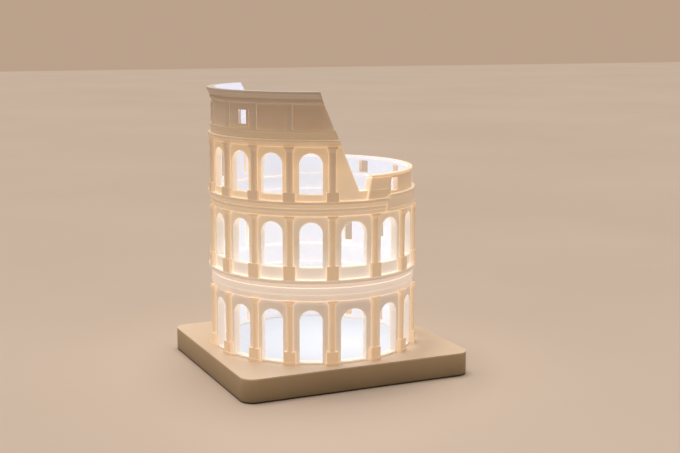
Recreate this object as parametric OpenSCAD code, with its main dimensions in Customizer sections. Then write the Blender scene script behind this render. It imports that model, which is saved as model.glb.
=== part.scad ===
// Miniature amphitheatre ruin, night-light type: a round arcaded tower of
// three storeys and a broken attic on a low rectangular base.
// Units are millimetres, +Z is up.  The origin is on the table, under the
// middle of the base; the front of the base faces -Y.

/* [Base] */
// width of the base, left to right
base_w = 130; // [126:1:160]
// depth of the base, front to back
base_d = 120; // [118:1:160]
// height of the base top above the table, feet included
base_top = 12.8; // [12:0.1:20]
// radius of the four upright corners
base_corner = 7.3; // [5:0.1:12]
// thickness of the side walls
base_wall = 3; // [2.4:0.1:4]
// thickness of the top plate
base_plate = 2.5; // [2:0.1:3]
// how far the rubber feet stand out below
foot_h = 0.8; // [0.5:0.1:2]

/* [Tower plan] */
// sideways position of the tower axis
tower_x = -1.4; // [-3:0.1:3]
// front-to-back position of the tower axis
tower_y = 2.2; // [-3:0.1:3]
// outside radius of the arcade wall
wall_r = 55; // [50:0.5:56]
// thickness of the wall of the two lower storeys
wall_t_low = 4.2; // [3.6:0.1:5]
// thickness of the wall of the upper storey and of the low wall
wall_t = 3.4; // [2.6:0.1:3.6]
// thickness of the attic wall
wall_t_attic = 1.8; // [1.4:0.1:2.6]
// direction of the column that opens the first bay, on the front
first_bay = -102.8; // [-105:0.1:-100]
// width of the first two bays, degrees
bay_a = 25.2; // [24:0.1:26]
bay_b = 23; // [22:0.1:24]
// width of the four bays of the right flank, degrees
bay_right = 21.2; // [20.5:0.1:22]
// width of the four bays of the back, degrees
bay_back = 24.4; // [23.5:0.1:24.8]
// width of the two bays of the left flank, degrees
bay_left = 20.5; // [20:0.1:21]
// width of the last bay, degrees
bay_last = 22.7; // [22:0.1:23.5]

/* [Storeys] */
// top of the sill under the lower arches, above the base top
sill_1 = 1.2; // [0.8:0.1:3]
// crown of the lower arches
crown_1 = 29; // [27:0.1:30]
// floor of the middle storey
floor_2 = 45; // [44:0.1:47]
// top of the middle parapet
sill_2 = 51.4; // [49:0.1:53]
// crown of the middle arches
crown_2 = 74.9; // [72:0.1:75.5]
// floor of the upper storey
floor_3 = 85.7; // [84:0.1:87]
// top of the upper parapet
sill_3 = 89.2; // [88:0.1:90]
// crown of the upper arches
crown_3 = 110.2; // [107:0.1:110.6]
// floor of the attic
floor_4 = 117; // [116:0.1:119]
// top of the crown cornice
crown_top = 141.2; // [139:0.1:144]

/* [Openings] */
// clear width of the arches
arch_w = 11.8; // [9:0.1:12]
// clear width of the arch in the first bay
arch_w_a = 14.4; // [11:0.1:14.6]
// clear width of the arch in the second bay
arch_w_b = 13.2; // [11:0.1:13.4]
// width of the slots in the blind bays on the right
slot_w = 5.4; // [4.4:0.1:7]
// width of the narrow slots in the blind bays on the left
slot_w_b = 2.2; // [1.6:0.1:3]
// width of the attic windows
attic_win_w = 5.6; // [4.5:0.1:8]
// height of the attic windows
attic_win_h = 7.3; // [5:0.1:9]
// width of the windows in the low wall
low_win_w = 6; // [4.5:0.1:6.4]

/* [Orders] */
// radius of the column shafts
shaft_r = 1.75; // [1.4:0.05:2]
// width of the pedestals
ped_w = 6; // [5:0.1:7]
// width of the capitals
cap_w = 5.4; // [4.4:0.1:6]
// how far the cornice lips stand out from the wall
lip_out = 2.4; // [2.3:0.1:3]

/* [Ruin] */
// direction at the foot of the sloping break on the front
break_foot = -87.8; // [-92:0.1:-86]
// lean of the front break, millimetres sideways per millimetre up
break_lean = 0.42; // [0.3:0.01:0.5]
// direction where the tall wall ends at the back
back_end = 86; // [80:1:92]
// lean of the back break
back_lean = 0.68; // [0.5:0.01:0.75]
// direction of the thick end block of the low wall
block_dir = -75; // [-76:0.1:-74]
// width of the end block
block_w = 14.8; // [13:0.1:15]
// top of the low wall rim above the base top
low_top = 98.1; // [97:0.1:100]

/* [Lamp] */
// radius of the light disc in the base top
disc_r = 49.5; // [40:0.5:49.5]
// radius of the light board
board_r = 36; // [30:0.5:37]
// travel of the power button
button_travel = 0.6; // [0.3:0.1:0.6]

/* [Part] */
// which part is drawn: all, or one name from the list below

/* [Hidden] */
$fn = 180;
bays = 16;

// base, heights above the table
shell_z = foot_h;
cover_t = 2;
cover_top = shell_z + cover_t;
plate_z = base_top - base_plate;
in_w = base_w - 2 * base_wall;
in_d = base_d - 2 * base_wall;
in_corner = base_corner - base_wall;
cover_gap = 0.1;
boss_x = in_w / 2 - 5.5;
boss_y = in_d / 2 - 5.5;
boss_r = 3.6;
boss_hole_r = 1.3;
boss_hole_top = plate_z - 1;
cover_hole_r = 1.5;
cover_bore_r = 3.1;
cover_bore_t = 1.1;
cover_head_r = 2.8;
cover_head_h = 1;
cover_shank_r = 1.25;
cover_shank_top = plate_z - 1.8;
foot_r = 5.5;
foot_x = base_w / 2 - 21;
foot_y = base_d / 2 - 20;

// light disc and light board
disc_t = 1.5;
disc_gap = 0.1;
disc_ledge = 3;
post_r = 2.6;
post_ring_r = board_r - 5;
post_hole_r = 1.05;
board_z = cover_top + 3.2;
board_t = 1.2;
board_hole_r = 1.15;
small_shank_r = 1;
small_head_r = 1.9;
small_head_h = 1.1;
small_shank_len = 3.4;
chip_w = 2;
chip_h = 0.6;
chips_out = 16;
chips_in = 8;
chip_ring_out = board_r - 10;
chip_ring_in = board_r - 22;

// electronics
cell_w = 28;
cell_d = 21.5;
cell_h = 5;
cell_x = 20;
cell_y = -52;
cboard_x0 = -14;
cboard_x1 = 36;
cboard_y0 = in_d / 2 - 14.5;
cboard_y1 = in_d / 2 - 2.5;
cboard_z = cover_top + 1.2;
cboard_t = 1;
cboard_top = cboard_z + cboard_t;
cpost_y = cboard_y0 + 3.2;
cpost_xa = -10;
cpost_xb = 33;
cpost_r = 2.4;
sock_w = 8.94;
sock_h = 3.26;
sock_d = 7.3;
sock_wall = 0.32;
sock_y1 = base_d / 2 - 0.4;
sock_gap = 0.2;
tongue_w = 6.6;
tongue_h = 0.7;
tongue_d = 4.6;

// power button, pushed along Y in the back wall
btn_x = 25;
btn_z = cboard_top + 2.2;
btn_r = 2.5;
btn_hole_gap = 0.08;
btn_flange_r = 3;
btn_flange_t = 1.2;
btn_face_y = base_d / 2 - 0.1;
btn_seat_y = in_d / 2 - 0.1;
sw_w = 6;
sw_d = 4;
sw_h = 4.4;
sw_stem_r = 1.2;
sw_stem_gap = 0.05;
sw_stem_in = 1.6;
sw_stem_y1 = btn_seat_y - btn_flange_t;
sw_y1 = sw_stem_y1 - button_travel - 0.3;

// ribbons
rib_w = 2.4;
rib_t = 0.8;
rib_x = in_w / 2 - 5;

// tower screws
tscrew_r = 0.9;
tscrew_gap = 0.06;
tscrew_head_r = 1.9;
tscrew_head_h = 1.3;
tscrew_len = 8;
tscrew_n = 4;
tscrew_ring_r = wall_r - wall_t_low / 2;

// tower, heights above the base top
in_r = wall_r - wall_t;
in_low_r = wall_r - wall_t_low;
in_attic_r = wall_r - wall_t_attic;
bay_rest = (360 - bay_a - bay_b - 4 * bay_right - 4 * bay_back
    - 2 * bay_left - bay_last) / 3;
blind_first = 6;
blind_last = 9;
blind_depth = 1.5;
blind_sill_2 = floor_2 + 2;
lip_r = wall_r + lip_out;
bed_r = wall_r + 1.3;
frieze_r = wall_r + 0.9;
arch_more = 0.05;
ped_out = 2.2;
ped_1_h = 7.1;
cap_1_z = 31.3;
ent_1_z = 34;
ped_2_h = 7.3;
cap_2_z = 75.8;
ent_2_z = 78.1;
ped_3_h = 4.7;
cap_3_z = 110.7;
ent_3_z = 113.6;
col_r = wall_r + 0.3;
slab_h = 0.9;
plinth_h = 1.5;
plinth_out = 0.35;
t3_first = 9;
t3_last = 16;
attic_first = 10;
attic_last = 15;

// tall wall sector, swept anticlockwise from the back end to the front
tall_from = back_end;
tall_to = 360 + break_foot + 1.5;
tall_sweep = tall_to - tall_from;
ent_step = block_dir + 5.5;

// low wall
low_from = block_dir + 8.1;
low_out_r = wall_r - 0.4;
low_floor = floor_3 + 1.6;
rim_h = 1.4;
rim_z = low_top - rim_h;
rim_r = wall_r - 0.1;
rim_in_r = in_r + 0.4;
block_r = wall_r + 1.3;
block_step_z = 90.5;
block_step = 0.25;
block_in_left = 2.3;
block_out_right = 1.5;
low_win_first = block_dir + 13.5;
low_win_step = 31;
low_win_n = 4;
low_win_sill = 1.2;
low_win_top = 95.5;

// attic
plinth_top = 120.7;
ledge_top = 121.7;
band_z = 135.3;
crown_lip_h = 1.5;
pil_w = 2.8;
pil_out = 0.4;
attic_win_z = 124;
attic_win_turn = 2.3;
attic_win_a = 11;
attic_win_b = 13;
frame_w = 1.1;
frame_head = 1.6;
frame_out = 0.35;

// ---- helpers ---------------------------------------------------------

function bay_w(i) = i == 0 ? bay_a : i == 1 ? bay_b
    : i < 6 ? bay_right : i < 10 ? bay_back : i < 13 ? bay_rest
    : i < 15 ? bay_left : bay_last;
function col_dir(i) = i == 0 ? first_bay : col_dir(i - 1) + bay_w(i - 1);
function bay_dir(i) = col_dir(i) + bay_w(i) / 2;
function arch_of(i) = i == 0 ? arch_w_a : i == 1 ? arch_w_b : arch_w;
function is_blind(i) = i >= blind_first && i <= blind_last;
function slot_of(i) = i == blind_first ? slot_w
    : i == blind_last ? slot_w_b : 0;

module at_tower(z) {
    translate([tower_x, tower_y, base_top + z]) children();
}

module rounded_slab(w, d, r, h) {
    linear_extrude(h) {
        square([w - 2 * r, d], center = true);
        square([w, d - 2 * r], center = true);
        for (sx = [-1, 1])
            for (sy = [-1, 1])
                translate([sx * (w / 2 - r), sy * (d / 2 - r)])
                    circle(r);
    }
}

// plain ring from z0 to z1
module ring(r0, r1, z0, z1) {
    rotate_extrude()
        translate([r0, z0])
            square([r1 - r0, z1 - z0]);
}

// part of a ring, from direction a, swept anticlockwise
module arc_ring(r0, r1, z0, z1, a, sweep) {
    rotate([0, 0, a])
        rotate_extrude(angle = sweep)
            translate([r0, z0])
                square([r1 - r0, z1 - z0]);
}

// turned moulding: lip over bed mould over frieze over architrave
module entablature_profile(z0, z_frieze, z_bed, z_lip, z1) {
    polygon([[in_low_r, z0], [wall_r + 0.6, z0],
        [wall_r + 0.6, z_frieze],
        [frieze_r, z_frieze], [frieze_r, z_bed - 0.35],
        [wall_r + 0.7, z_bed - 0.35], [wall_r + 0.7, z_bed],
        [bed_r, z_bed], [bed_r, z_lip], [lip_r, z_lip], [lip_r, z1],
        [in_low_r, z1]]);
}

// round-headed cutter, pointing outwards along X from radius r0
module arch_cut(w, z0, z_crown, r0) {
    head = w / 2 + arch_more;
    translate([r0, 0, 0])
        rotate([90, 0, 90])
            linear_extrude(wall_r + 4 - r0) {
                translate([-w / 2, z0])
                    square([w, z_crown - head - z0]);
                translate([0, z_crown - head])
                    circle(head);
            }
}

// openings of one storey: the back bays are blind, two have slots
module arches(a, b, z0, z_blind, z_crown) {
    for (i = [a:b])
        rotate([0, 0, bay_dir(i)])
            if (is_blind(i)) {
                arch_cut(arch_w, z_blind, z_crown,
                    wall_r - blind_depth);
                if (slot_of(i) > 0)
                    arch_cut(slot_of(i), z_blind, z_crown - 1.2,
                        in_low_r - 4);
            } else
                arch_cut(arch_of(i), z0, z_crown, in_low_r - 4);
}

module window_cut(w, z0, z1) {
    translate([in_r - 4, -w / 2, z0])
        cube([wall_t + 8, w, z1 - z0]);
}

// things standing on the outside of the wall keep its round back
module off_wall(r) {
    difference() {
        children();
        translate([0, 0, -5])
            cylinder(r = r, h = 200, $fn = 4 * $fn);
    }
}

module pedestal_block(z0, h) {
    translate([wall_r - 1, -ped_w / 2, z0])
        cube([1 + ped_out, ped_w, h]);
}

// turned flare under a square slab
module capital_block(z0, z1) {
    translate([col_r, 0, z0])
        cylinder(r1 = shaft_r + 0.15, r2 = cap_w / 2 - 0.3,
            h = z1 - z0 - slab_h);
    translate([wall_r - 1, -cap_w / 2, z1 - slab_h])
        cube([1 + ped_out - 0.1, cap_w, slab_h]);
}

// wedge that takes away the wall beyond the sloping break on the front
module front_break() {
    mid = break_foot - 10.5;
    t_foot = (wall_r + 1) * sin(10.5);
    rotate([0, 0, mid])
        translate([in_r - 12, 0, 0])
            rotate([90, 0, 90])
                linear_extrude(wall_t + 24)
                    polygon([[t_foot, sill_3 + 1.2],
                        [t_foot + 30, sill_3 + 1.2],
                        [t_foot + 30, crown_top + 8],
                        [t_foot - break_lean * (crown_top + 8 - sill_3 - 1.2),
                            crown_top + 8]]);
}

// leaning end block of the low wall, sides flat, front and back round
module end_block(grow) {
    rotate([0, 0, block_dir])
        intersection() {
            difference() {
                union() {
                    cylinder(r = block_r, h = block_step_z);
                    cylinder(r = block_r - block_step, h = rim_z);
                }
                translate([0, 0, -1])
                    cylinder(r = in_r - grow, h = rim_z + 2);
            }
            translate([in_r - 6, 0, 0])
                rotate([90, 0, 90])
                    linear_extrude(wall_t + 12)
                        polygon([[-block_w / 2, floor_3],
                            [block_w / 2, floor_3],
                            [block_w / 2 + block_out_right, rim_z],
                            [-block_w / 2 + block_in_left, rim_z]]);
        }
}

// takes away the parapet where the end block stands
module block_side_cut() {
    slope = block_in_left / (rim_z - floor_3);
    rotate([0, 0, block_dir])
        translate([in_r - 6, 0, 0])
            rotate([90, 0, 90])
                linear_extrude(wall_t + 12)
                    polygon([[-block_w / 2 - 3 * slope, floor_3 - 3],
                        [block_w, floor_3 - 3], [block_w, rim_z + 3],
                        [-block_w / 2 + block_in_left + 3 * slope,
                            rim_z + 3]]);
}

// the break at the back, leaning the other way
module back_break() {
    mid = back_end + 15;
    t_foot = -(wall_r + 1) * sin(15);
    rotate([0, 0, mid])
        translate([in_r - 12, 0, 0])
            rotate([90, 0, 90])
                linear_extrude(wall_t + 24)
                    polygon([[t_foot, low_top],
                        [t_foot + back_lean * (crown_top + 8 - low_top),
                            crown_top + 8],
                        [t_foot - 30, crown_top + 8],
                        [t_foot - 30, low_top]]);
}

// ---- base ------------------------------------------------------------

module base_housing() {
    color([0.86, 0.80, 0.70])
    difference() {
        union() {
            difference() {
                translate([0, 0, shell_z])
                    rounded_slab(base_w, base_d, base_corner,
                        base_top - shell_z);
                translate([0, 0, shell_z - 1])
                    rounded_slab(in_w, in_d, in_corner,
                        plate_z - shell_z + 1);
            }
            for (sx = [-1, 1])
                for (sy = [-1, 1])
                    translate([sx * boss_x, sy * boss_y, cover_top])
                        cylinder(r = boss_r, h = plate_z - cover_top + 0.5);
        }
        for (sx = [-1, 1])
            for (sy = [-1, 1])
                translate([sx * boss_x, sy * boss_y, cover_top - 1])
                    cylinder(r = boss_hole_r,
                        h = boss_hole_top - cover_top + 1, $fn = 32);
        // seat and opening for the light disc
        translate([tower_x, tower_y, base_top - disc_t])
            cylinder(r = disc_r, h = disc_t + 1);
        translate([tower_x, tower_y, plate_z - 1])
            cylinder(r = disc_r - disc_ledge, h = base_plate + 2);
        // holes for the tower screws
        translate([tower_x, tower_y, 0])
            for (k = [0:tscrew_n - 1])
                rotate([0, 0, col_dir(2 + 4 * k)])
                    translate([tscrew_ring_r, 0, plate_z - 1])
                        cylinder(r = tscrew_r + 0.3, h = base_plate + 2,
                            $fn = 32);
        // mouth for the charging socket
        translate([-sock_w / 2 - sock_gap, in_d / 2 - 1,
                cboard_top - sock_gap])
            cube([sock_w + 2 * sock_gap, base_wall + 2,
                sock_h + 2 * sock_gap]);
        // hole for the power button
        translate([btn_x, in_d / 2 - 1, btn_z])
            rotate([-90, 0, 0])
                cylinder(r = btn_r + btn_hole_gap, h = base_wall + 2);
    }
}

module bottom_cover() {
    color([0.78, 0.73, 0.65])
    difference() {
        union() {
            translate([0, 0, shell_z])
                rounded_slab(in_w - 2 * cover_gap, in_d - 2 * cover_gap,
                    in_corner - cover_gap, cover_t);
            for (k = [0:3])
                translate([tower_x, tower_y, 0])
                    rotate([0, 0, 45 + 90 * k])
                        translate([post_ring_r, 0, cover_top - 0.5])
                            cylinder(r = post_r,
                                h = board_z - cover_top + 0.5);
            for (x = [cpost_xa, cpost_xb])
                translate([x, cpost_y, cover_top - 0.5])
                    cylinder(r = cpost_r, h = cboard_z - cover_top + 0.5);
        }
        for (sx = [-1, 1])
            for (sy = [-1, 1])
                translate([sx * boss_x, sy * boss_y, shell_z - 1]) {
                    cylinder(r = cover_hole_r, h = cover_t + 2, $fn = 32);
                    cylinder(r = cover_bore_r, h = 1 + cover_bore_t,
                        $fn = 32);
                }
        for (k = [0:3])
            translate([tower_x, tower_y, 0])
                rotate([0, 0, 45 + 90 * k])
                    translate([post_ring_r, 0, cover_top - 0.7])
                        cylinder(r = post_hole_r, h = 6, $fn = 32);
        for (x = [cpost_xa, cpost_xb])
            translate([x, cpost_y, cover_top - 1.2])
                cylinder(r = post_hole_r, h = 6, $fn = 32);
    }
}

module rubber_feet() {
    color([0.12, 0.12, 0.12])
    for (sx = [-1, 1])
        for (sy = [-1, 1])
            translate([sx * foot_x, sy * foot_y, 0])
                cylinder(r = foot_r, h = foot_h, $fn = 48);
}

module cover_screws() {
    color([0.6, 0.6, 0.62])
    for (sx = [-1, 1])
        for (sy = [-1, 1])
            translate([sx * boss_x, sy * boss_y, 0]) {
                translate([0, 0, shell_z + cover_bore_t - cover_head_h])
                    cylinder(r = cover_head_r, h = cover_head_h, $fn = 32);
                translate([0, 0, shell_z + cover_bore_t - 0.2])
                    cylinder(r = cover_shank_r,
                        h = cover_shank_top - shell_z - cover_bore_t + 0.2,
                        $fn = 32);
            }
}

module light_disc() {
    color([0.95, 0.96, 0.98])
    translate([tower_x, tower_y, base_top - disc_t])
        cylinder(r = disc_r - disc_gap, h = disc_t);
}

module led_board() {
    color([0.92, 0.92, 0.90])
    translate([tower_x, tower_y, board_z])
        difference() {
            cylinder(r = board_r, h = board_t);
            for (k = [0:3])
                rotate([0, 0, 45 + 90 * k])
                    translate([post_ring_r, 0, -1])
                        cylinder(r = board_hole_r, h = board_t + 2,
                            $fn = 32);
        }
}

module led_chips() {
    color([0.98, 0.95, 0.75])
    translate([tower_x, tower_y, board_z + board_t]) {
        for (k = [0:chips_out - 1])
            rotate([0, 0, k * 360 / chips_out])
                translate([chip_ring_out - chip_w / 2, -chip_w / 2, 0])
                    cube([chip_w, chip_w, chip_h]);
        for (k = [0:chips_in - 1])
            rotate([0, 0, k * 360 / chips_in])
                translate([chip_ring_in - chip_w / 2, -chip_w / 2, 0])
                    cube([chip_w, chip_w, chip_h]);
    }
}

module small_screw(z_under_head) {
    translate([0, 0, z_under_head])
        cylinder(r = small_head_r, h = small_head_h, $fn = 32);
    translate([0, 0, z_under_head - small_shank_len])
        cylinder(r = small_shank_r, h = small_shank_len + 0.2, $fn = 32);
}

module led_board_screws() {
    color([0.6, 0.6, 0.62])
    translate([tower_x, tower_y, 0])
        for (k = [0:3])
            rotate([0, 0, 45 + 90 * k])
                translate([post_ring_r, 0, 0])
                    small_screw(board_z + board_t);
}

module battery_cell() {
    color([0.75, 0.76, 0.78])
    translate([cell_x, cell_y, cover_top])
        cube([cell_w, cell_d, cell_h]);
}

module charge_board() {
    color([0.10, 0.35, 0.22])
    difference() {
        translate([cboard_x0, cboard_y0, cboard_z])
            cube([cboard_x1 - cboard_x0, cboard_y1 - cboard_y0, cboard_t]);
        for (x = [cpost_xa, cpost_xb])
            translate([x, cpost_y, cboard_z - 1])
                cylinder(r = board_hole_r, h = cboard_t + 2, $fn = 32);
    }
}

module charge_board_screws() {
    color([0.6, 0.6, 0.62])
    for (x = [cpost_xa, cpost_xb])
        translate([x, cpost_y, 0]) {
            translate([0, 0, cboard_top])
                cylinder(r = small_head_r, h = small_head_h, $fn = 32);
            translate([0, 0, cover_top - 0.8])
                cylinder(r = small_shank_r,
                    h = cboard_top - cover_top + 1, $fn = 32);
        }
}

module charge_socket() {
    color([0.72, 0.72, 0.74]) {
        difference() {
            translate([-sock_w / 2, sock_y1 - sock_d, cboard_top])
                cube([sock_w, sock_d, sock_h]);
            translate([-sock_w / 2 + sock_wall, sock_y1 - sock_d + 1,
                    cboard_top + sock_wall])
                cube([sock_w - 2 * sock_wall, sock_d,
                    sock_h - 2 * sock_wall]);
        }
        translate([-tongue_w / 2, sock_y1 - sock_d + 0.9,
                cboard_top + (sock_h - tongue_h) / 2])
            cube([tongue_w, tongue_d, tongue_h]);
    }
}

module button_switch() {
    color([0.15, 0.15, 0.16])
    difference() {
        translate([btn_x - sw_w / 2, sw_y1 - sw_d, cboard_top])
            cube([sw_w, sw_d, sw_h]);
        translate([btn_x, sw_y1 - sw_stem_in - button_travel - 0.4, btn_z])
            rotate([-90, 0, 0])
                cylinder(r = sw_stem_r + sw_stem_gap, h = sw_d, $fn = 32);
    }
}

module switch_plunger() {
    color([0.85, 0.20, 0.15])
    translate([btn_x, sw_y1 - sw_stem_in, btn_z])
        rotate([-90, 0, 0])
            cylinder(r = sw_stem_r, h = sw_stem_y1 - sw_y1 + sw_stem_in,
                $fn = 32);
}

module power_button() {
    color([0.80, 0.74, 0.64])
    translate([btn_x, 0, btn_z])
        rotate([-90, 0, 0]) {
            translate([0, 0, btn_seat_y - btn_flange_t])
                cylinder(r = btn_flange_r, h = btn_flange_t);
            translate([0, 0, btn_seat_y - 0.5])
                cylinder(r = btn_r, h = btn_face_y - btn_seat_y + 0.5);
        }
}

module power_ribbon() {
    color([0.85, 0.82, 0.75]) {
        translate([cell_x + cell_w, -42 - rib_w, cboard_z])
            cube([rib_x - cell_x - cell_w, rib_w, rib_t]);
        translate([rib_x - rib_w, -42 - 0.2, cboard_z])
            cube([rib_w, cpost_y + 42 + 0.2, rib_t]);
        translate([cboard_x1, cpost_y - rib_w, cboard_z])
            cube([rib_x - rib_w - cboard_x1 + 0.2, rib_w, rib_t]);
    }
}

module led_ribbon() {
    color([0.85, 0.82, 0.75]) {
        translate([2, cboard_y0 - 1.4, cboard_top])
            cube([rib_w, 4, rib_t]);
        translate([2, cboard_y0 - 1.4, cboard_top + rib_t - 0.1])
            cube([rib_w, rib_t, board_z + board_t - cboard_top]);
        translate([2, tower_y + board_r - 6, board_z + board_t])
            cube([rib_w, cboard_y0 - 1 - tower_y - board_r + 6, rib_t]);
    }
}

module tower_screws() {
    color([0.6, 0.6, 0.62])
    translate([tower_x, tower_y, 0])
        for (k = [0:tscrew_n - 1])
            rotate([0, 0, col_dir(2 + 4 * k)])
                translate([tscrew_ring_r, 0, 0]) {
                    translate([0, 0, plate_z - tscrew_head_h])
                        cylinder(r = tscrew_head_r, h = tscrew_head_h,
                            $fn = 32);
                    translate([0, 0, plate_z - 0.2])
                        cylinder(r = tscrew_r, h = tscrew_len + 0.2,
                            $fn = 32);
                }
}

// ---- lower storey ----------------------------------------------------

module lower_arcade() {
    color([0.90, 0.85, 0.75])
    at_tower(0)
        difference() {
            ring(in_low_r, wall_r, 0, ent_1_z);
            arches(0, bays - 1, sill_1, sill_1, crown_1);
            for (k = [0:tscrew_n - 1])
                rotate([0, 0, col_dir(2 + 4 * k)])
                    translate([tscrew_ring_r, 0, -1])
                        cylinder(r = tscrew_r + tscrew_gap,
                            h = tscrew_len - base_plate + 2, $fn = 32);
        }
}

module pedestals(a, b, z0, h) {
    off_wall(wall_r)
        for (i = [a:b])
            rotate([0, 0, col_dir(i)])
                pedestal_block(z0, h);
}

module columns(a, b, z0, z1) {
    off_wall(wall_r)
        for (i = [a:b])
            rotate([0, 0, col_dir(i)])
                translate([col_r, 0, z0])
                    cylinder(r = shaft_r, h = z1 - z0);
}

module capitals(a, b, z0, z1) {
    off_wall(wall_r)
        for (i = [a:b])
            rotate([0, 0, col_dir(i)])
                capital_block(z0, z1);
}

// the lowest pedestals stand on a slightly wider foot
module lower_pedestals() {
    color([0.88, 0.82, 0.72])
    at_tower(0) {
        pedestals(0, bays - 1, 0, ped_1_h);
        off_wall(wall_r)
            for (i = [0:bays - 1])
                rotate([0, 0, col_dir(i)])
                    translate([wall_r - 1, -ped_w / 2 - plinth_out, 0])
                        cube([1 + ped_out + plinth_out,
                            ped_w + 2 * plinth_out, plinth_h]);
    }
}

module lower_columns() {
    color([0.92, 0.87, 0.78])
    at_tower(0) columns(0, bays - 1, ped_1_h, cap_1_z);
}

module lower_capitals() {
    color([0.88, 0.82, 0.72])
    at_tower(0) capitals(0, bays - 1, cap_1_z, ent_1_z);
}

module lower_entablature() {
    color([0.93, 0.89, 0.81])
    at_tower(0)
        rotate_extrude()
            entablature_profile(ent_1_z, 37.2, 41.2, 43.1, floor_2);
}

// ---- middle storey ---------------------------------------------------

module middle_arcade() {
    color([0.90, 0.85, 0.75])
    at_tower(0)
        difference() {
            ring(in_low_r, wall_r, floor_2, ent_2_z);
            arches(0, bays - 1, sill_2, blind_sill_2, crown_2);
        }
}

module middle_pedestals() {
    color([0.88, 0.82, 0.72])
    at_tower(0) pedestals(0, bays - 1, floor_2, ped_2_h);
}

module middle_columns() {
    color([0.92, 0.87, 0.78])
    at_tower(0) columns(0, bays - 1, floor_2 + ped_2_h, cap_2_z);
}

module middle_capitals() {
    color([0.88, 0.82, 0.72])
    at_tower(0) capitals(0, bays - 1, cap_2_z, ent_2_z);
}

// the part that carries the tall wall
module middle_entablature() {
    color([0.93, 0.89, 0.81])
    at_tower(0)
        rotate([0, 0, back_end])
            rotate_extrude(angle = 360 + ent_step - back_end)
                entablature_profile(ent_2_z, 80.2, 82.4, 84.05, floor_3);
}

// the part that carries the low wall, a little taller
module low_entablature() {
    color([0.93, 0.89, 0.81])
    at_tower(0)
    difference() {
        rotate([0, 0, ent_step])
            rotate_extrude(angle = back_end - ent_step)
                polygon([[in_low_r, ent_2_z], [wall_r + 0.8, ent_2_z],
                    [wall_r + 0.8, ent_2_z + 1.7],
                    [wall_r + 1.1, ent_2_z + 1.7],
                    [wall_r + 1.1, low_floor - 1.9],
                    [wall_r + 1.6, low_floor - 1.9],
                    [wall_r + 1.6, low_floor], [in_low_r, low_floor]]);
        end_block(1);
    }
}

// ---- upper storey ----------------------------------------------------

module upper_arcade() {
    color([0.90, 0.85, 0.75])
    at_tower(0)
        difference() {
            // the parapet is left standing in the gap beyond the break
            arc_ring(in_r, wall_r, floor_3, ent_3_z, tall_from,
                360 + block_dir - tall_from);
            arches(t3_first, t3_last - 1, sill_3, sill_3, crown_3);
            front_break();
            back_break();
            block_side_cut();
        }
}

module upper_pedestals() {
    color([0.88, 0.82, 0.72])
    at_tower(0) pedestals(t3_first, t3_last, floor_3, ped_3_h);
}

module upper_columns() {
    color([0.92, 0.87, 0.78])
    at_tower(0)
        columns(t3_first, t3_last, floor_3 + ped_3_h, cap_3_z);
}

module upper_capitals() {
    color([0.88, 0.82, 0.72])
    at_tower(0) capitals(t3_first, t3_last, cap_3_z, ent_3_z);
}

module upper_entablature() {
    color([0.93, 0.89, 0.81])
    at_tower(0)
        difference() {
            rotate([0, 0, tall_from])
                rotate_extrude(angle = tall_sweep)
                    polygon([[in_r, ent_3_z], [wall_r + 0.7, ent_3_z],
                        [wall_r + 0.7, ent_3_z + 0.9],
                        [bed_r, ent_3_z + 0.9],
                        [bed_r, floor_4 - 1.2], [lip_r, floor_4 - 1.2],
                        [lip_r, floor_4], [in_r, floor_4]]);
            front_break();
            back_break();
        }
}

// ---- attic -----------------------------------------------------------

module attic_plinth() {
    color([0.90, 0.85, 0.75])
    at_tower(0)
        difference() {
            rotate([0, 0, tall_from])
                rotate_extrude(angle = tall_sweep)
                    polygon([[in_attic_r, floor_4],
                        [wall_r + 0.7, floor_4],
                        [wall_r + 0.7, plinth_top],
                        [wall_r + 1.1, plinth_top],
                        [wall_r + 1.1, ledge_top],
                        [in_attic_r, ledge_top]]);
            front_break();
            back_break();
        }
}

module attic_wall() {
    color([0.90, 0.85, 0.75])
    at_tower(0)
        difference() {
            arc_ring(in_attic_r, wall_r, ledge_top, band_z, tall_from,
                tall_sweep);
            for (i = [attic_win_a, attic_win_b])
                rotate([0, 0, bay_dir(i) + attic_win_turn])
                    window_cut(attic_win_w, attic_win_z,
                        attic_win_z + attic_win_h);
            front_break();
            back_break();
        }
}

module attic_pilasters() {
    color([0.92, 0.87, 0.78])
    at_tower(0)
        off_wall(wall_r)
            for (i = [attic_first:attic_last])
                rotate([0, 0, col_dir(i)])
                    translate([wall_r - 1, -pil_w / 2, ledge_top])
                        cube([1 + pil_out, pil_w, band_z - ledge_top]);
}

// flat surround of each attic window, with a taller head
module attic_window_frames() {
    color([0.92, 0.87, 0.78])
    at_tower(0)
        off_wall(wall_r)
            for (i = [attic_win_a, attic_win_b])
                rotate([0, 0, bay_dir(i) + attic_win_turn])
                    difference() {
                        translate([wall_r - 1, -attic_win_w / 2 - frame_w,
                                attic_win_z - frame_w])
                            cube([1 + frame_out, attic_win_w + 2 * frame_w,
                                attic_win_h + frame_w + frame_head]);
                        window_cut(attic_win_w, attic_win_z,
                            attic_win_z + attic_win_h);
                    }
}

module crown_cornice() {
    color([0.93, 0.89, 0.81])
    at_tower(0)
        difference() {
            rotate([0, 0, tall_from])
                rotate_extrude(angle = tall_sweep)
                    polygon([[in_attic_r, band_z], [wall_r + 0.8, band_z],
                        [wall_r + 0.8, band_z + 1.9],
                        [wall_r + 0.4, band_z + 1.9],
                        [wall_r + 0.4, band_z + 2.3],
                        [wall_r + 1.3, band_z + 2.3],
                        [wall_r + 1.3, band_z + 3.3],
                        [wall_r + 1.8, band_z + 3.3],
                        [wall_r + 1.8, crown_top - crown_lip_h],
                        [lip_r, crown_top - crown_lip_h],
                        [lip_r, crown_top], [in_attic_r, crown_top]]);
            front_break();
            back_break();
        }
}

// ---- low wall --------------------------------------------------------

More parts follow.
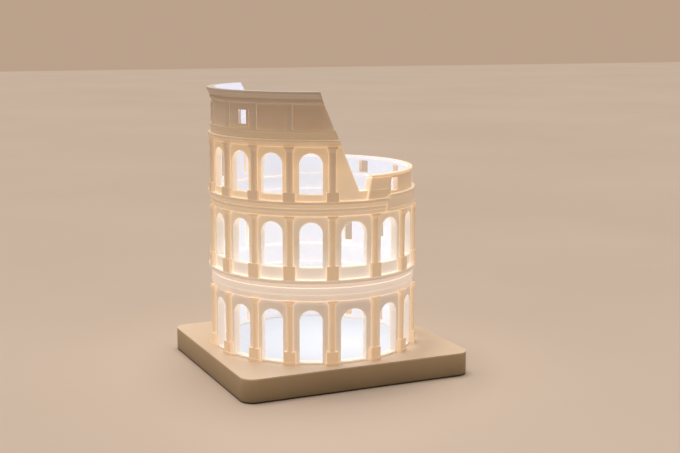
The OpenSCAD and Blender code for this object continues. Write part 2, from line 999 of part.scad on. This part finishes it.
module low_wall() {
    color([0.90, 0.85, 0.75])
    at_tower(0)
        difference() {
            arc_ring(in_r, low_out_r, low_floor, rim_z, low_from,
                back_end - low_from);
            end_block(1);
            for (k = [0:low_win_n - 1])
                rotate([0, 0, low_win_first + k * low_win_step])
                    window_cut(low_win_w, low_floor + low_win_sill,
                        low_win_top);
        }
}

module low_wall_block() {
    color([0.90, 0.85, 0.75])
    at_tower(0) end_block(0);
}

// the rim is broader over the end block
module low_wall_rim() {
    rim_from = block_dir - 5;
    block_edge = block_dir + 9.2;
    color([0.93, 0.89, 0.81])
    at_tower(0) {
        arc_ring(rim_in_r, rim_r, rim_z, low_top, rim_from,
            back_end - rim_from);
        arc_ring(rim_r - 1, block_r - 0.3, rim_z, low_top, rim_from,
            block_edge - rim_from);
    }
}

// ---- which part is drawn ---------------------------------------------

base_housing();
bottom_cover();
rubber_feet();
cover_screws();
light_disc();
led_board();
led_chips();
led_board_screws();
battery_cell();
charge_board();
charge_board_screws();
charge_socket();
button_switch();
switch_plunger();
power_ribbon();
led_ribbon();
power_button();
tower_screws();
lower_arcade();
lower_pedestals();
lower_columns();
lower_capitals();
lower_entablature();
middle_arcade();
middle_pedestals();
middle_columns();
middle_capitals();
middle_entablature();
low_entablature();
upper_arcade();
upper_pedestals();
upper_columns();
upper_capitals();
upper_entablature();
attic_plinth();
attic_wall();
attic_pilasters();
attic_window_frames();
crown_cornice();
low_wall();
low_wall_block();
low_wall_rim();
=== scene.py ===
"""Looks of the lit amphitheatre ruin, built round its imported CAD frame."""

import math

import bmesh
import bpy
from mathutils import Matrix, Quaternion, Vector


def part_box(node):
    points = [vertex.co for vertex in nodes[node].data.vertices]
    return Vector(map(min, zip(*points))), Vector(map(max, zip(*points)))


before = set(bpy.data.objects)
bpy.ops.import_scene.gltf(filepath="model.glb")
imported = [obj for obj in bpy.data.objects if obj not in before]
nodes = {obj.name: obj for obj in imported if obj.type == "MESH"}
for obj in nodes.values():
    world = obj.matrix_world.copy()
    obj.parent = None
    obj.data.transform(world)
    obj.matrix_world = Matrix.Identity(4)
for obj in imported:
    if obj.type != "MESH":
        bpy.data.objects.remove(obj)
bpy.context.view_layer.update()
scene = bpy.context.scene

MM = 0.001

# ---- sizes taken from the frame --------------------------------------

wall_lo, wall_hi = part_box("lower_arcade")
AXIS = Vector(((wall_lo.x + wall_hi.x) / 2, (wall_lo.y + wall_hi.y) / 2, 0))
WALL_R = (wall_hi.x - wall_lo.x) / 2
BASE_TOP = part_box("base_housing")[1].z
TOWER_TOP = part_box("crown_cornice")[1].z

# ---- camera ----------------------------------------------------------

CAM_AT = Vector((-0.2587, -0.5964, 0.1886))
CAM_TO = Vector((0.0118, -0.0054, 0.0766))
CAM_LENS = 63.0
CAM_SENSOR = 36.0
CAM_ROLL = math.radians(0.19)


def make_camera():
    """Camera at the photograph's viewing angle."""
    data = bpy.data.cameras.new("photo_camera")
    data.lens = CAM_LENS
    data.sensor_width = CAM_SENSOR
    data.clip_start = 0.01
    data.clip_end = 50
    cam = bpy.data.objects.new("photo_camera", data)
    scene.collection.objects.link(cam)
    cam.location = CAM_AT
    cam.rotation_mode = "QUATERNION"
    look = (CAM_TO - CAM_AT).to_track_quat("-Z", "Y")
    cam.rotation_quaternion = look @ Quaternion((0, 0, 1), CAM_ROLL)
    scene.camera = cam


# ---- materials -------------------------------------------------------


class Shader:
    """A material's node tree, with short calls to add and join nodes."""

    def __init__(self, name):
        self.mat = bpy.data.materials.new(name)
        self.mat.use_nodes = True
        self.tree = self.mat.node_tree
        self.tree.nodes.clear()
        self.out = self.add("ShaderNodeOutputMaterial")
        self.bsdf = self.add("ShaderNodeBsdfPrincipled")
        self.join(self.bsdf, "BSDF", self.out, "Surface")
        self.coord = self.add("ShaderNodeTexCoord")

    def add(self, kind, **props):
        node = self.tree.nodes.new(kind)
        for key, value in props.items():
            setattr(node, key, value)
        return node

    def join(self, a, out_name, b, in_name):
        self.tree.links.new(a.outputs[out_name], b.inputs[in_name])

    def place(self):
        """The X, Y and Z of the point in the part's own frame."""
        split = self.add("ShaderNodeSeparateXYZ")
        self.join(self.coord, "Object", split, "Vector")
        return split

    def noise(self, scale, detail=4, rough=0.5, offset=(0, 0, 0)):
        shift = self.add("ShaderNodeMapping")
        shift.inputs["Location"].default_value = offset
        self.join(self.coord, "Object", shift, "Vector")
        tex = self.add("ShaderNodeTexNoise")
        tex.inputs["Scale"].default_value = scale
        tex.inputs["Detail"].default_value = detail
        tex.inputs["Roughness"].default_value = rough
        self.join(shift, "Vector", tex, "Vector")
        return tex

    def ramp(self, source, out_name, stops):
        node = self.add("ShaderNodeValToRGB")
        elements = node.color_ramp.elements
        while len(elements) < len(stops):
            elements.new(0.5)
        for element, (place, colour) in zip(elements, stops):
            element.position = place
            element.color = (*colour, 1)
        self.join(source, out_name, node, "Fac")
        return node

    def to_range(self, source, out_name, low, high):
        node = self.add("ShaderNodeMapRange")
        node.inputs["To Min"].default_value = low
        node.inputs["To Max"].default_value = high
        self.join(source, out_name, node, "Value")
        return node

    def bump(self, source, out_name, distance, strength=1.0, under=None):
        node = self.add("ShaderNodeBump")
        node.inputs["Distance"].default_value = distance
        node.inputs["Strength"].default_value = strength
        self.join(source, out_name, node, "Height")
        if under is not None:
            self.join(under, "Normal", node, "Normal")
        return node

    def math(self, operation, a, b=None):
        """One maths node; a and b are numbers or (node, output) pairs."""
        node = self.add("ShaderNodeMath", operation=operation)
        for place, value in enumerate((a, b)):
            if value is None:
                continue
            if isinstance(value, tuple):
                self.join(value[0], value[1], node, place)
            else:
                node.inputs[place].default_value = value
        return node, "Value"

    def blend(self, kind, factor, a, b):
        """Mix two colours; b is a colour or a (node, output) pair."""
        node = self.add("ShaderNodeMixRGB", blend_type=kind)
        if isinstance(factor, tuple):
            self.join(*factor, node, "Fac")
        else:
            node.inputs["Fac"].default_value = factor
        self.join(*a, node, "Color1")
        if len(b) == 2:
            self.join(*b, node, "Color2")
        else:
            node.inputs["Color2"].default_value = (*b, 1)
        return node, "Color"

    def layers(self, pitch):
        """Height of printed layers, one wave every pitch metres up Z."""
        turn = self.math("MULTIPLY", (self.place(), "Z"),
                         2 * math.pi / pitch)
        return self.math("SINE", turn)


def shade(colour, factor):
    """The colour made lighter or darker."""
    return tuple(min(1.0, c * factor) for c in colour)


def painted_lamp_glow(s, by_height, reach, lead):
    """Colour of the painted glow, an emission that stands in for the lamp's
    light.

    Inside the wall it paints the lamp's own cool white, as painted light.
    Outside it paints the light that comes through the plastic: it changes
    with the height over the light disc, and it falls off with the plastic
    that stands out from the wall, red least and blue most.  Lead is the
    extra plastic that light crosses to get into a part of its own.
    """
    spot = s.place()
    x = s.math("SUBTRACT", (spot, "X"), AXIS.x)
    y = s.math("SUBTRACT", (spot, "Y"), AXIS.y)
    out = s.math("SQRT", s.math("ADD", s.math("MULTIPLY", x, x),
                                s.math("MULTIPLY", y, y)))
    proud = s.math("SUBTRACT", out, WALL_R)
    deep = s.math("MAXIMUM", s.math("ADD", proud, lead), 0.0)
    left = s.add("ShaderNodeCombineColor")
    for channel, length in zip(("Red", "Green", "Blue"), reach):
        fall = s.math("MULTIPLY", deep, -1 / length)
        s.join(*s.math("EXPONENT", fall), left, channel)
    rise = s.math("SUBTRACT", (spot, "Z"), BASE_TOP)
    height = s.math("DIVIDE", rise, TOWER_TOP - BASE_TOP)
    tone = s.ramp(*height, by_height)
    outside = s.blend("MULTIPLY", 1.0, (tone, "Color"), (left, "Color"))
    face = s.add("ShaderNodeNewGeometry")
    turn = s.add("ShaderNodeSeparateXYZ")
    s.join(face, "Normal", turn, "Vector")
    away = s.math("ADD", s.math("MULTIPLY", (turn, "X"), x),
                  s.math("MULTIPLY", (turn, "Y"), y))
    away = s.math("DIVIDE", away, out)
    inside = s.to_range(*away, 1.0, 0.0)
    inside.interpolation_type = "SMOOTHSTEP"
    inside.inputs["From Min"].default_value = INSIDE_FROM
    inside.inputs["From Max"].default_value = INSIDE_TO
    lit = s.ramp(*height, INSIDE_PAINTED_LIGHT)
    return s.blend("MIX", (inside, "Result"), outside, (lit, "Color"))


def printed_plastic(name, seed, by_height, reach, lead, soft):
    """Matte plastic in printed layers, with a painted glow standing in for the
    lamp's light.
    """
    s = Shader(name)
    shift = (seed * 0.31, seed * 0.17, seed * 0.23)
    cloud = s.noise(26, detail=5, rough=0.6, offset=shift)
    tone = s.ramp(cloud, "Fac", [(0.3, shade(IVORY, 0.965)),
                                 (0.7, shade(IVORY, 1.02))])
    s.join(tone, "Color", s.bsdf, "Base Color")
    grain = s.noise(1600, detail=3, rough=0.6, offset=shift)
    gloss = s.to_range(grain, "Fac", 0.43, 0.59)
    s.join(gloss, "Result", s.bsdf, "Roughness")
    low = s.bump(*s.layers(PRINT_LAYER), LAYER_DEPTH, 0.5)
    fine = s.bump(grain, "Fac", GRAIN_DEPTH, 0.5, under=low)
    s.join(fine, "Normal", s.bsdf, "Normal")
    s.bsdf.inputs["Subsurface Weight"].default_value = soft
    s.bsdf.inputs["Subsurface Radius"].default_value = WALK_RGB
    s.bsdf.inputs["Subsurface Scale"].default_value = WALK
    s.bsdf.inputs["Specular IOR Level"].default_value = 0.35
    # painted light: emission that stands in for the lamp's light through the
    # plastic and on its inner faces
    s.join(*painted_lamp_glow(s, by_height, reach, lead), s.bsdf, "Emission Color")
    s.bsdf.inputs["Emission Strength"].default_value = 1.0
    return s.mat


def base_plastic(name, top, side, dark):
    """Painted highlight on top and its edge, painted shade down the sides."""
    s = solid_plastic(name, top, 0.5)
    height = s.math("DIVIDE", (s.place(), "Z"), BASE_TOP)
    # painted shade: darkest near the bottom, shaded up the sides, with a
    # painted highlight on the top and along its top edge
    painted_shade = s.ramp(*height, [(0.10, dark), (0.93, side), (0.955, top)])
    cloud = s.noise(30, detail=5, rough=0.6)
    vary = s.ramp(cloud, "Fac", [(0.3, (0.93, 0.93, 0.93)),
                                 (0.7, (1.0, 1.0, 1.0))])
    both = s.blend("MULTIPLY", 1.0, (painted_shade, "Color"), (vary, "Color"))
    s.join(*both, s.bsdf, "Base Color")
    return s.mat


def solid_plastic(name, colour, rough):
    """Opaque plastic or rubber with a faint grain; returns its Shader."""
    s = Shader(name)
    cloud = s.noise(30, detail=5, rough=0.6)
    tone = s.ramp(cloud, "Fac", [(0.3, shade(colour, 0.93)),
                                 (0.7, shade(colour, 1.05))])
    s.join(tone, "Color", s.bsdf, "Base Color")
    fine = s.noise(1400, detail=3, rough=0.6)
    gloss = s.to_range(fine, "Fac", rough - 0.08, rough + 0.08)
    s.join(gloss, "Result", s.bsdf, "Roughness")
    bump = s.bump(fine, "Fac", 0.75 * GRAIN_DEPTH, 0.6)
    s.join(bump, "Normal", s.bsdf, "Normal")
    return s


def metal(name, colour, rough):
    """Metal with fine streaks in its colour and gloss."""
    s = Shader(name)
    streak = s.noise(700, detail=4, rough=0.7)
    tone = s.ramp(streak, "Fac", [(0.3, shade(colour, 0.9)),
                                  (0.7, shade(colour, 1.05))])
    s.join(tone, "Color", s.bsdf, "Base Color")
    gloss = s.to_range(streak, "Fac", rough - 0.08, rough + 0.1)
    s.join(gloss, "Result", s.bsdf, "Roughness")
    s.bsdf.inputs["Metallic"].default_value = 1.0
    return s.mat


def glowing(name, colour, strength):
    """A lamp's surface that gives off the lamp's light."""
    s = Shader(name)
    cloud = s.noise(60, detail=3, rough=0.5)
    tone = s.ramp(cloud, "Fac", [(0.3, shade(colour, 0.98)),
                                 (0.7, shade(colour, 1.0))])
    s.join(tone, "Color", s.bsdf, "Base Color")
    s.bsdf.inputs["Roughness"].default_value = 0.6
    s.bsdf.inputs["Specular IOR Level"].default_value = 0.1
    s.bsdf.inputs["Emission Color"].default_value = (*LAMP_RGB, 1)
    s.bsdf.inputs["Emission Strength"].default_value = strength
    return s.mat


IVORY = (0.86, 0.80, 0.72)
PRINT_LAYER = 0.2 * MM
LAYER_DEPTH = 0.006 * MM
GRAIN_DEPTH = 0.02 * MM
# how far light soaks into the plastic before it comes out again
WALK = 1.2 * MM
WALK_RGB = (1.0, 0.82, 0.66)
LAMP_RGB = (0.91, 0.92, 1.0)
# cosine between a face and the way out from the axis: the first and all
# below it is fully inside, the second and all above it is outside
INSIDE_FROM = -0.75
INSIDE_TO = 0.1
# painted light on the inner faces by height, from the base top to the top of
# the crown
INSIDE_PAINTED_LIGHT = [
    (0.00, (0.23, 0.28, 0.37)),
    (0.35, (0.30, 0.35, 0.44)),
    (0.60, (0.28, 0.33, 0.42)),
    (1.00, (0.50, 0.55, 0.71)),
]
# painted glow of the outer faces of the wall, bands and reliefs by height
WALL_GLOW = [
    (0.00, (0.27, 0.22, 0.18)),
    (0.22, (0.26, 0.21, 0.17)),
    (0.28, (0.63, 0.54, 0.47)),
    (0.34, (0.43, 0.38, 0.33)),
    (0.45, (0.27, 0.22, 0.165)),
    (0.72, (0.43, 0.28, 0.15)),
    (0.84, (0.19, 0.12, 0.05)),
    (0.88, (0.09, 0.05, 0.02)),
    (1.00, (0.03, 0.01, 0.00)),
]
# painted glow of the outer faces of the columns, pedestals, capitals and low
# wall by height
ORDER_GLOW = [
    (0.00, (0.49, 0.32, 0.18)),
    (0.22, (0.47, 0.31, 0.18)),
    (0.45, (0.42, 0.28, 0.15)),
    (0.72, (0.24, 0.14, 0.07)),
    (1.00, (0.10, 0.05, 0.02)),
]
# for each kind of part: its painted glow by height, how far its red, green
# and blue reach and the lead, in mm, and how much of the light soaks in
GLOW = {
    "wall": (WALL_GLOW, (3.4, 2.6, 2.0), 0.0, 1.0),
    "band": (WALL_GLOW, (3.2, 2.9, 2.7), 0.0, 1.0),
    "order": (ORDER_GLOW, (8.0, 6.0, 4.5), 0.5, 0.0),
    "relief": (WALL_GLOW, (3.4, 2.6, 2.0), 0.2, 0.0),
}

ivory = {}
for k, (part, (by_height, reach, lead, soft)) in enumerate(GLOW.items()):
    ivory[part] = printed_plastic(
        "ivory_" + part, k + 1.0, by_height, [r * MM for r in reach],
        lead * MM, soft)
# base colours: the painted highlight of the top, the painted shade of the
# sides, and the darker painted shade near the bottom
base_mat = base_plastic("base_plastic", (0.93, 0.76, 0.58),
                        (0.74, 0.57, 0.36), (0.46, 0.36, 0.22))
cover_mat = solid_plastic("cover_plastic", (0.36, 0.27, 0.19), 0.6).mat
rubber_mat = solid_plastic("foot_rubber", (0.03, 0.03, 0.03), 0.8).mat
steel_mat = metal("screw_steel", (0.58, 0.57, 0.56), 0.35)
socket_mat = metal("socket_steel", (0.66, 0.66, 0.68), 0.3)
foil_mat = metal("cell_foil", (0.74, 0.75, 0.77), 0.4)
disc_mat = glowing("opal_disc", (0.34, 0.36, 0.38), 0.52)
chip_mat = glowing("led_chip", (0.9, 0.8, 0.35), 2.0)
white_mat = solid_plastic("white_board", (0.85, 0.85, 0.83), 0.4).mat
green_mat = solid_plastic("green_board", (0.03, 0.16, 0.08), 0.35).mat
black_mat = solid_plastic("black_plastic", (0.03, 0.03, 0.035), 0.45).mat
ribbon_mat = solid_plastic("ribbon", (0.75, 0.70, 0.60), 0.45).mat

FINISH = {
    "attic_pilasters": ivory["relief"],
    "attic_window_frames": ivory["relief"],
    "crown_cornice": ivory["relief"], "attic_plinth": ivory["relief"],
    "low_wall": ivory["order"],
    "base_housing": base_mat, "bottom_cover": cover_mat,
    "rubber_feet": rubber_mat, "cover_screws": steel_mat,
    "light_disc": disc_mat, "led_board": white_mat, "led_chips": chip_mat,
    "led_board_screws": steel_mat, "battery_cell": foil_mat,
    "charge_board": green_mat, "charge_board_screws": steel_mat,
    "charge_socket": socket_mat, "button_switch": black_mat,
    "switch_plunger": black_mat, "power_ribbon": ribbon_mat,
    "led_ribbon": ribbon_mat, "power_button": cover_mat,
    "tower_screws": steel_mat,
}
ORDER_WORDS = ("pedestals", "columns", "capitals")
BAND_WORDS = ("entablature", "rim")


def finish_of(name):
    """The material of a CAD node, by its name or a word in it."""
    if name in FINISH:
        return FINISH[name]
    if any(word in name for word in ORDER_WORDS):
        return ivory["order"]
    if any(word in name for word in BAND_WORDS):
        return ivory["band"]
    return ivory["wall"]


for node_name, obj in nodes.items():
    obj.data.materials.clear()
    obj.data.materials.append(finish_of(node_name))

# ---- soft edges ------------------------------------------------------

MOULDING_EDGE = 0.25 * MM
BASE_EDGE = 0.35 * MM


def soften(obj, width):
    """Round the moulded edges of a CAD node, inside its own outline."""
    weld = obj.modifiers.new("weld", "WELD")
    weld.merge_threshold = 0.001 * MM
    bevel = obj.modifiers.new("soft_edges", "BEVEL")
    bevel.width = width
    bevel.segments = 2
    bevel.limit_method = "ANGLE"
    bevel.angle_limit = math.radians(40)
    bevel.use_clamp_overlap = True
    bevel.harden_normals = False


for node_name in ("lower_entablature", "middle_entablature",
                  "low_entablature", "upper_entablature", "attic_plinth",
                  "crown_cornice", "low_wall_rim", "low_wall_block"):
    soften(nodes[node_name], MOULDING_EDGE)
soften(nodes["base_housing"], BASE_EDGE)

# ---- floor, light and air --------------------------------------------


def make_floor():
    """Pale floor that runs past the edges of the picture."""
    mesh = bpy.data.meshes.new("floor")
    bm = bmesh.new()
    bmesh.ops.create_grid(bm, x_segments=1, y_segments=1, size=4)
    bm.to_mesh(mesh)
    bm.free()
    floor = bpy.data.objects.new("floor", mesh)
    scene.collection.objects.link(floor)
    s = Shader("pale_floor")
    cloud = s.noise(3, detail=4)
    tone = s.ramp(cloud, "Fac", [(0.3, (0.66, 0.55, 0.46)),
                                 (0.7, (0.70, 0.59, 0.50))])
    s.join(tone, "Color", s.bsdf, "Base Color")
    s.bsdf.inputs["Roughness"].default_value = 0.6
    mesh.materials.append(s.mat)


def hang_lamp(name, kind, power, colour, aim):
    """A light of the room, facing the way that aim says."""
    data = bpy.data.lights.new(name, kind)
    data.energy = power
    data.color = colour
    lamp = bpy.data.objects.new(name, data)
    scene.collection.objects.link(lamp)
    lamp.rotation_mode = "QUATERNION"
    lamp.rotation_quaternion = aim.to_track_quat("-Z", "Y")
    return lamp


def make_lights():
    """Soft light from above, and a dim warm one from the left."""
    top = hang_lamp("soft_top", "SUN", 2.85, (1, 0.92, 0.84),
                    Vector((0.03, -0.14, -1.0)))
    top.data.angle = math.radians(45)
    place = Vector((-1.6, -0.5, 0.7))
    left = hang_lamp("soft_left", "AREA", 0.24, (1, 0.58, 0.26),
                     Vector((0, 0, 0.05)) - place)
    left.location = place
    left.data.shape = "DISK"
    left.data.size = 0.9


def make_air(seen, seen_power, cast, cast_power):
    """Plain backdrop colour, and the dim warm light of the room."""
    world = bpy.data.worlds.new("room_air")
    scene.world = world
    world.use_nodes = True
    tree = world.node_tree
    tree.nodes.clear()
    out = tree.nodes.new("ShaderNodeOutputWorld")
    mix = tree.nodes.new("ShaderNodeMixShader")
    path = tree.nodes.new("ShaderNodeLightPath")
    tree.links.new(path.outputs["Is Camera Ray"], mix.inputs[0])
    for place, (colour, power) in enumerate(
            ((cast, cast_power), (seen, seen_power))):
        air = tree.nodes.new("ShaderNodeBackground")
        air.inputs["Color"].default_value = (*colour, 1)
        air.inputs["Strength"].default_value = power
        tree.links.new(air.outputs[0], mix.inputs[1 + place])
    tree.links.new(mix.outputs[0], out.inputs["Surface"])


make_floor()
make_lights()
make_air((0.50, 0.36, 0.26), 1.0, (0.60, 0.42, 0.28), 0.05)
make_camera()
scene.view_settings.view_transform = "Standard"
